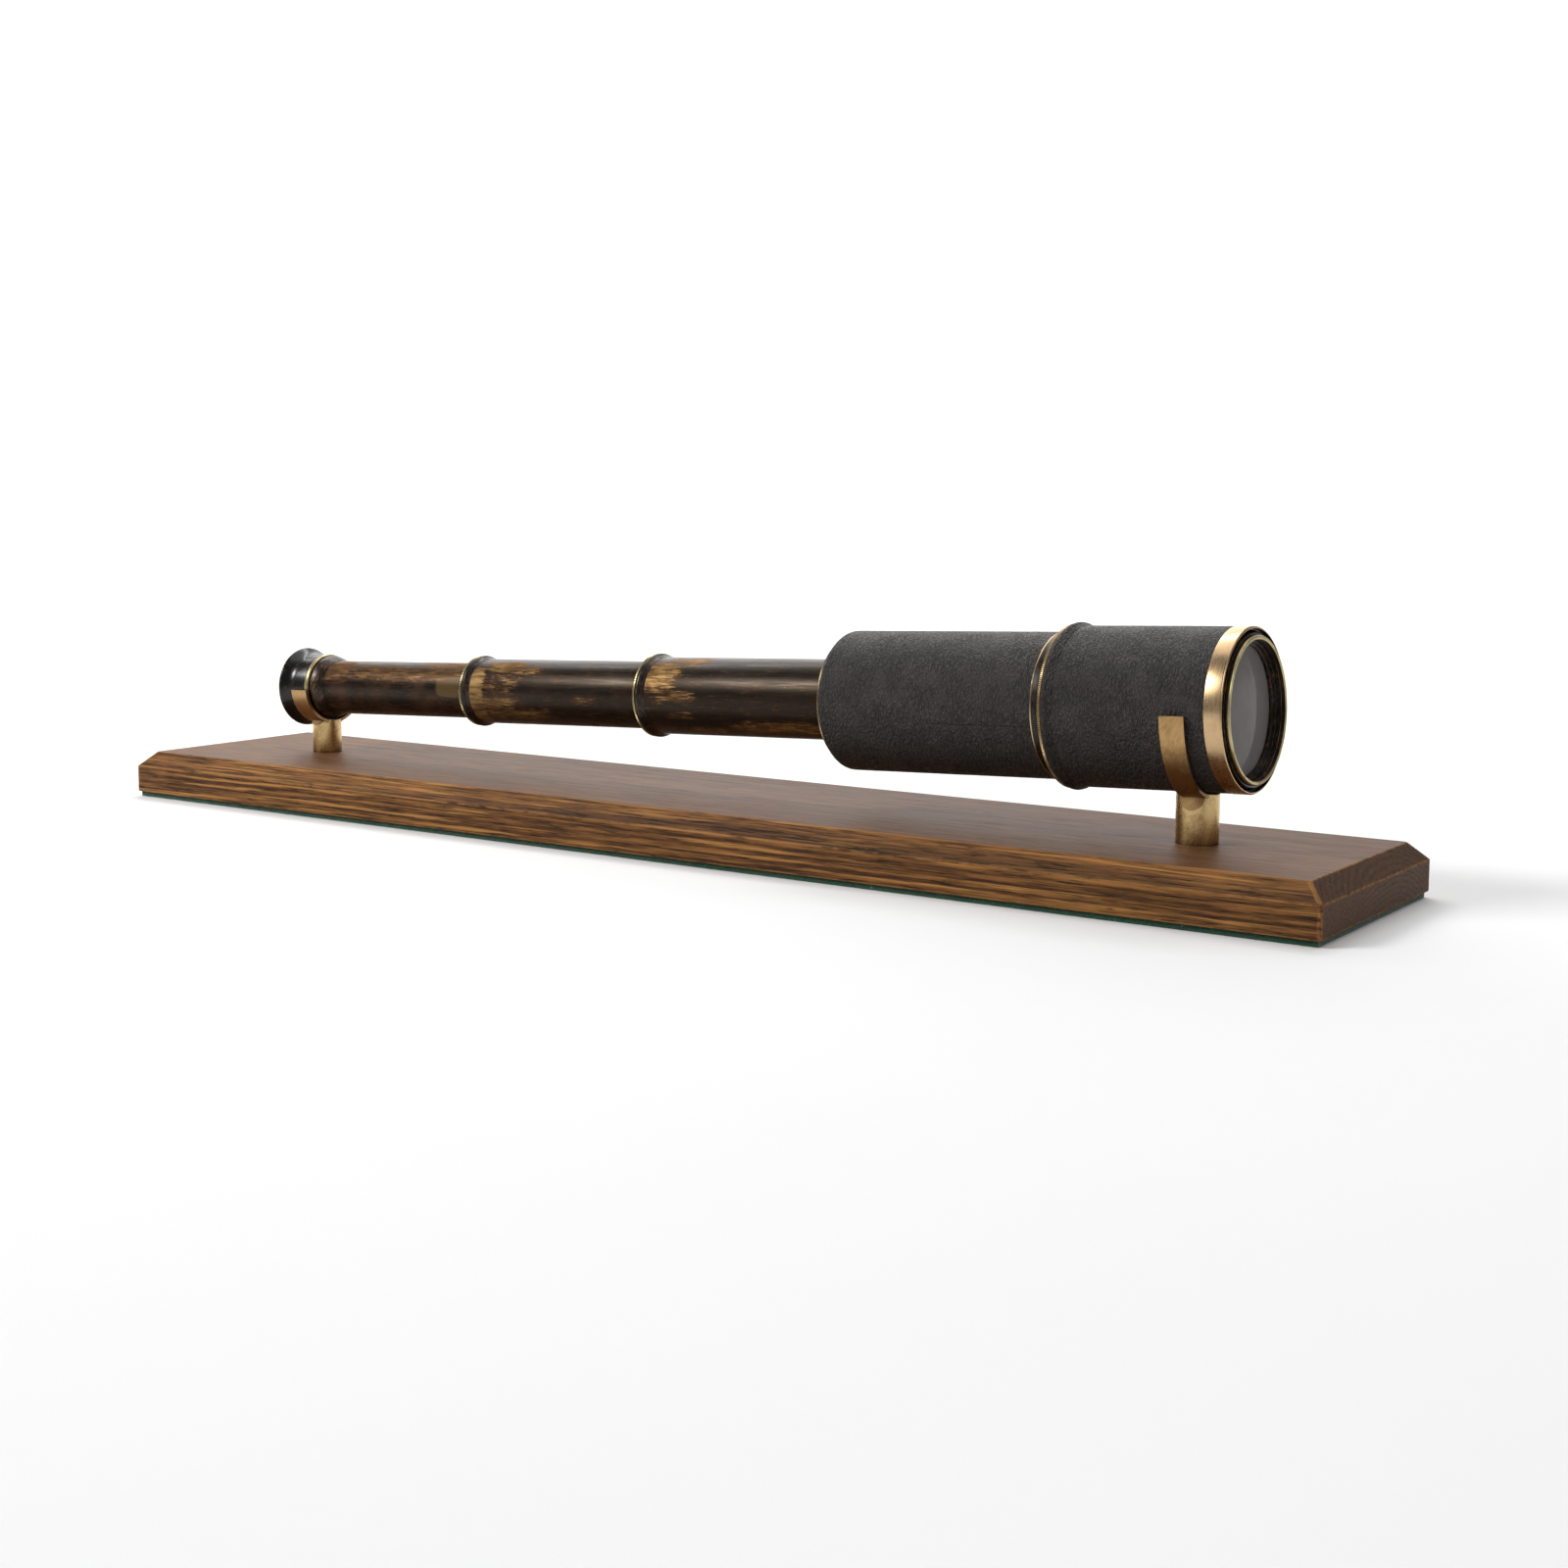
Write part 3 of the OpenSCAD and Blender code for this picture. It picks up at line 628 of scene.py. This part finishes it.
def chamfered_board():
    """The oak plinth: a chamfered board whose arrises are rounded and marked for wear."""
    low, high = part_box("oak_base")
    half_x, half_y = high.x, high.y
    top_points = [v.co for v in NODES["oak_base"].data.vertices if v.co.z > high.z - MM / 10]
    chamfer = half_y - max(p.y for p in top_points)
    eased = 0.5 * MM
    turned_corner = 1.4 * MM
    ease = Vector((0.0, high.z - chamfer))
    crest = Vector((chamfer, high.z))
    # Rings of points from the underside to the top, each an inset, a height and how worn it is
    levels = [(eased, low.z, 1.0), (0.3 * eased, low.z + 0.3 * eased, 1.0), (0.0, low.z + eased, 1.0),
              (0.0, low.z + 3 * eased, 0.0)]
    slope = Vector((1.0, 1.0)).normalized()
    levels += [(0.0, ease.y - 3 * eased, 0.0), (0.0, ease.y - eased, 0.8), (0.12 * eased, ease.y, 1.0),
               (*(ease + slope * eased), 0.8), (*(ease + slope * 3 * eased), 0.0)]
    levels += [(*(crest - slope * 3 * eased), 0.0), (*(crest - slope * eased), 0.8),
               (crest.x, crest.y - 0.12 * eased, 1.0), (crest.x + eased, crest.y, 0.8),
               (crest.x + 3 * eased, crest.y, 0.0)]
    round_steps = 4
    vertices, wear = [], []
    for inset, height, amount in levels:
        x, y = half_x - inset, half_y - inset
        for quarter in range(4):
            sign_x = (1, -1, -1, 1)[quarter]
            sign_y = (1, 1, -1, -1)[quarter]
            ring = []
            for k in range(round_steps + 1):
                turn = math.pi / 2 * (quarter + k / round_steps)
                ring.append((sign_x * (x - turned_corner) + turned_corner * math.cos(turn),
                             sign_y * (y - turned_corner) + turned_corner * math.sin(turn), 1.0))
            lead = 3 * eased
            first, last = ring[0], ring[-1]
            if quarter % 2 == 0:
                before = (first[0], first[1] - sign_y * lead, 0.0)
                after = (last[0] - sign_x * lead, last[1], 0.0)
            else:
                before = (first[0] - sign_x * lead, first[1], 0.0)
                after = (last[0], last[1] - sign_y * lead, 0.0)
            for px, py, corner in [before, *ring, after]:
                vertices.append((px, py, height))
                wear.append(max(amount, corner))
    around = len(vertices) // len(levels)
    # The top face spans the whole board, so wear at its corners would spread right across it
    wear[-around:] = [0.0] * around
    mesh = bpy.data.meshes.new("oak_plinth")
    mesh.from_pydata(vertices, [], stack_faces(len(levels), around))
    attribute = mesh.attributes.new("arris", "FLOAT", "POINT")
    attribute.data.foreach_set("value", wear)
    work = bmesh.new()
    work.from_mesh(mesh)
    bmesh.ops.recalc_face_normals(work, faces=work.faces)
    work.to_mesh(mesh)
    work.free()
    mesh.shade_smooth()
    mesh.set_sharp_from_angle(angle=math.radians(40))
    mesh.materials.append(OAK)
    board = bpy.data.objects.new("oak_plinth", mesh)
    bpy.context.scene.collection.objects.link(board)
    return finish_piece(board, "stand", ["oak_base"])


def felt_pad():
    """The baize under the plinth, cut by hand: its edge wanders a little."""
    low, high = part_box("baize_pad")
    pitch = 1.5 * MM
    edge = []
    corners = [Vector(p) for p in ((low.x, low.y), (high.x, low.y), (high.x, high.y), (low.x, high.y))]
    for i, a in enumerate(corners):
        b = corners[(i + 1) % len(corners)]
        pieces = int((b - a).length / pitch)
        edge.extend(a.lerp(b, k / pieces) for k in range(pieces))
    heights = (low.z, low.z + 0.6 * MM, low.z + 1.5 * MM, high.z - 0.4 * MM, high.z)
    ends = (0, len(heights) - 1)
    vertices = []
    for level, height in enumerate(heights):
        for p in edge:
            fuzz = noise.noise(Vector((p.x, p.y, height * 3)) / (2.2 * MM))
            wander = noise.noise(Vector((p.x, p.y, 0)) / (30 * MM))
            inward = (0.35 + 0.25 * fuzz + 0.3 * wander) * MM + (0.25 * MM if level in ends else 0)
            x = math.copysign(max(abs(p.x) - inward, 0), p.x)
            y = math.copysign(max(abs(p.y) - inward, 0), p.y)
            vertices.append((x, y, height))
    faces = stack_faces(len(heights), len(edge))
    pad = mesh_piece("baize_pad_felt", vertices, faces, [BAIZE], sharp=60)
    return finish_piece(pad, "stand", ["baize_pad"])


def stand_metal():
    """Posts and cradles: their CAD meshes, smooth and brushed."""
    for end in ("eye", "objective"):
        for node, look in ((end + "_post", POST_BRASS), (end + "_cradle", BAND_BRASS)):
            piece = from_cad(node + "_brass", node, [look])
            finish_piece(piece, "stand", [node])


def worked_leather(depth, size):
    """Shape function that dents leather softly, always inwards. Both figures are millimetres."""
    def shape(radius, station, turn):
        at = Vector((radius * math.cos(turn), radius * math.sin(turn), station * 1.3))
        dent = 0.5 + 0.5 * noise.fractal(at / (size * MM), 0.9, 2.1, 3)
        wave = 0.5 + 0.5 * noise.noise(at / (18 * MM))
        return radius - depth * MM * min(max(0.6 * dent + 0.4 * wave, 0), 1), station
    return shape


def teeth_round(radius):
    """How many teeth of the maker's usual pitch go round a ring."""
    return int(2 * math.pi * radius / TOOTH_PITCH)


def milling(start, end, outer, depth, reach=0.3 * MM):
    """A milled band on the outermost reach of a ring."""
    return Mill(start, end, outer - reach, teeth_round(outer), depth)


def draw_collar(name, node, body):
    """A draw's collar: milled brass edge, then a black bead and its tail on the tube."""
    start, _, _, outer = span(node)
    edge_end = start + 1.45 * MM
    brass_inner = outer - 2.6 * MM
    mill = milling(start + 0.1 * MM, edge_end, outer, TOOTH_DEPTH, reach=0.5 * MM)
    points = soften(outline(node), 0.12 * MM)
    piece = turned(name, points, [MILLED, DARK], mill=mill,
                   split=lambda r, s: 0 if s < edge_end and r > brass_inner else 1)
    finish_piece(piece, body, [node])


def worn_edges(node, reach=0.3):
    """Split that bares the brass on the corners of a blackened ring."""
    corners = outline(node)
    limit = reach * MM

    def pick(radius, station):
        near = min(math.hypot(radius - r, station - s) for r, s in corners)
        return 1 if near < limit else 0
    return pick


def first_draw():
    """The eye cup, its bead and collar, and the first draw tube."""
    cup = turned("eye_cup_turned", soften(outline("eye_cup"), 0.3 * MM), [EBONITE])
    finish_piece(cup, "eye_draw", ["eye_cup"])
    bead = turned("eye_bead", soften(outline("eye_cup_ring"), 0.3 * MM), [MILLED])
    finish_piece(bead, "eye_draw", ["eye_cup_ring"])
    collar = turned("eye_collar_turned", soften(outline("eye_collar"), 0.15 * MM), [BROWN])
    finish_piece(collar, "eye_draw", ["eye_collar"])
    tube = turned("first_draw_tube", soften(outline("first_draw"), 0.1 * MM), [DRAW_ONE, MATT],
                  split=inside_black("first_draw"))
    finish_piece(tube, "eye_draw", ["first_draw"])


def inside_black(node):
    """Split that blackens the bore of a tube."""
    middle = sum(span(node)[2:]) / 2
    return lambda radius, station: 1 if radius < middle else 0


def other_draws():
    """The second and third draw tubes with their milled collars."""
    draws = (("second_draw", "middle_draw", DRAW_TWO, "worn_draw_two"),
             ("third_draw", "last_draw", DRAW_THREE, "worn_draw_three"))
    for node, body, look, slot in draws:
        tube = turned(node + "_tube", soften(outline(node), 0.1 * MM), [look, MATT],
                      split=inside_black(node))
        finish_piece(tube, body, [node])
        draw_collar(node + "_collar_turned", node + "_collar", body)


def barrel():
    """The leather sleeve, its milled end ring and the black band in front of it."""
    points = refine(soften(outline("barrel_leather"), 0.3 * MM), 0.6 * MM)
    sleeve = turned("barrel_leather_sleeve", points, [BARREL_LEATHER], around=420,
                    shape=worked_leather(0.16, 2.6))
    finish_piece(sleeve, "barrel", ["barrel_leather"])
    start, end, _, outer = span("barrel_end_ring")
    mill = milling(start + 0.15 * MM, end - 0.75 * MM, outer, TOOTH_DEPTH)
    ring = turned("barrel_end_ring_milled", soften(outline("barrel_end_ring"), 0.12 * MM),
                  [MILLED], mill=mill)
    finish_piece(ring, "barrel", ["barrel_end_ring"])
    start, _, _, outer = span("barrel_front_band")
    lip = start + 0.7 * MM
    band = turned("barrel_front_band_black", soften(outline("barrel_front_band"), 0.12 * MM),
                  [POLISHED, BLACK_BAND], split=lambda r, s: 0 if s < lip else 1)
    finish_piece(band, "barrel", ["barrel_front_band"])


def objective():
    """The cell, the milled rim and the retaining ring in front of the glass."""
    cell = turned("objective_cell_black", soften(outline("objective_cell"), 0.2 * MM),
                  [DARK, MILLED], split=worn_edges("objective_cell", 0.08))
    finish_piece(cell, "barrel", ["objective_cell"])
    start, end, inner, outer = span("objective_rim")
    wall = inner + 0.15 * MM
    mill = milling(start + 0.15 * MM, end - 0.8 * MM, outer, DEEP_TOOTH)
    rim = turned("objective_rim_milled", soften(outline("objective_rim"), 0.12 * MM),
                 [MILLED, DARK], mill=mill, split=lambda r, s: 1 if r < wall else 0)
    finish_piece(rim, "barrel", ["objective_rim"])
    hold = turned("retaining_ring_black", soften(outline("lens_retaining_ring"), 0.3 * MM),
                  [DARK, MILLED], split=worn_edges("lens_retaining_ring", 0.1))
    finish_piece(hold, "barrel", ["lens_retaining_ring"])


def sunshade():
    """The shade's sleeve and bead in leather, its milled ring and its front ring."""
    points = refine(soften(outline("shade_leather"), 0.25 * MM), 0.6 * MM)
    sleeve = turned("shade_leather_sleeve", points, [SHADE_LEATHER], around=440,
                    shape=worked_leather(0.16, 2.6))
    finish_piece(sleeve, "sunshade", ["shade_leather"])
    bead = turned("shade_leather_bead", refine(soften(outline("shade_flange"), 0.2 * MM), 0.5 * MM),
                  [SHADE_LEATHER], around=420, shape=worked_leather(0.1, 2.2))
    finish_piece(bead, "sunshade", ["shade_flange"])
    start, _, _, outer = span("shade_milled_ring")
    edge = start + 2.0 * MM
    mill = milling(edge + 0.25 * MM, edge + 1.8 * MM, outer, DEEP_TOOTH)

    def zone(_radius, station):
        """Brown where the ring starts, dark as far as the milled edge, then coppery."""
        if station < start + 0.3 * MM:
            return 0
        return 1 if station < edge - 0.1 * MM else 2

    ring = turned("shade_milled_ring_brass", soften(outline("shade_milled_ring"), 0.12 * MM),
                  [BROWN, DARK, COPPERY], mill=mill, split=zone)
    finish_piece(ring, "sunshade", ["shade_milled_ring"])
    _, _, _, outer = span("shade_front_ring")
    lip = outer - 1.0 * MM
    profile = [(r - FACET_GAP, s) for r, s in outline("shade_front_ring")]
    front = turned("shade_front_ring_polished", soften(profile, 0.25 * MM),
                   [POLISHED, DARK], around=360, split=lambda r, s: 1 if r < lip else 0)
    finish_piece(front, "sunshade", ["shade_front_ring"])


def dress_cad_nodes():
    """The CAD nodes that stay as they are get a material of their own."""
    dress = {
        BARE: ("first_draw_stop", "second_draw_stop", "third_draw_stop", "second_draw_bush",
               "third_draw_bush", "barrel_bush", "shade_tube", "barrel_tube", "lens_spacer"),
        MATT: ("eyepiece_tube", "erector_tube", "erector_stop", "field_stop", "glare_stop"),
        GLASS: ("eye_lens", "field_lens", "rear_erector_lens", "front_erector_lens", "flint_lens"),
        FRONT_GLASS: ("crown_lens",),
        STEEL: ("post_screws",),
    }
    for material, names in dress.items():
        for name in names:
            slots = NODES[name].data.materials
            slots.clear()
            slots.append(material)


def studio():
    """Pale floor that curves up far behind the object."""
    look = Look("studio_floor", Roughness=0.9)
    paper = look.clouds(400, detail=2)
    look.feed("Base Color", look.mix(paper, (0.84, 0.84, 0.84, 1.0), (0.87, 0.87, 0.87, 1.0)))
    front, back, bend, top, half_width = -6.0, 3.2, 1.6, 6.0, 8.0
    steps = 12
    profile = [(front, 0.0), (back, 0.0)]
    for k in range(1, steps + 1):
        turn = math.pi / 2 * k / steps
        profile.append((back + bend * math.sin(turn), bend * (1 - math.cos(turn))))
    profile.append((back + bend, top))
    vertices, faces = [], []
    for along, up in profile:
        for side in (-half_width, half_width):
            vertices.append((side, along, up))
    for i in range(len(profile) - 1):
        faces.append((2 * i, 2 * i + 1, 2 * i + 3, 2 * i + 2))
    floor = mesh_piece("studio_floor", vertices, faces, [look.material])
    floor.rotation_euler = (0, 0, math.radians(34))


def softbox(name, place, aim, size, power):
    """A rectangular area light at place, turned to face aim; size in metres, power in watts."""
    data = bpy.data.lights.new(name, "AREA")
    data.shape = "RECTANGLE"
    data.size, data.size_y = size
    data.energy = power
    light = bpy.data.objects.new(name, data)
    light.location = place
    light.rotation_euler = (Vector(aim) - Vector(place)).to_track_quat("-Z", "Y").to_euler()
    bpy.context.scene.collection.objects.link(light)


def lights():
    """Key, fill, overhead and backdrop softboxes in a pale, dim surround."""
    softbox("key_left", (-1.5, -1.75, 1.75), (0.0, 0.0, 0.05), (1.0, 0.7), 58)
    softbox("fill_right", (2.3, -0.9, 1.5), (0.1, 0.0, 0.05), (1.0, 1.0), 9)
    softbox("overhead", (0.2, 0.6, 2.4), (0.1, 0.0, 0.0), (3.0, 2.0), 26)
    softbox("backdrop", (-1.6, 1.9, 3.4), (-2.4, 3.9, 1.0), (4.5, 0.8), 260)
    world = bpy.data.worlds.new("studio_world")
    world.use_nodes = True
    background = world.node_tree.nodes["Background"]
    background.inputs["Color"].default_value = (1.0, 1.0, 1.0, 1.0)
    background.inputs["Strength"].default_value = 0.14
    bpy.context.scene.world = world
    bpy.context.scene.view_settings.view_transform = "Standard"


def camera():
    """The photograph's viewpoint, as solved from the outlines in it."""
    data = bpy.data.cameras.new("camera")
    data.sensor_width = 36.0
    data.lens = 51.25
    data.shift_x = -0.0014
    data.shift_y = -0.0427
    view = bpy.data.objects.new("camera", data)
    view.location = (0.67856, -0.92610, 0.19262)
    turn = (math.radians(83.6406), math.radians(-0.3259), math.radians(34.1286))
    view.rotation_euler = Euler(turn)
    bpy.context.scene.collection.objects.link(view)
    bpy.context.scene.camera = view


camera()
chamfered_board()
felt_pad()
stand_metal()
first_draw()
other_draws()
barrel()
objective()
sunshade()
dress_cad_nodes()
studio()
lights()
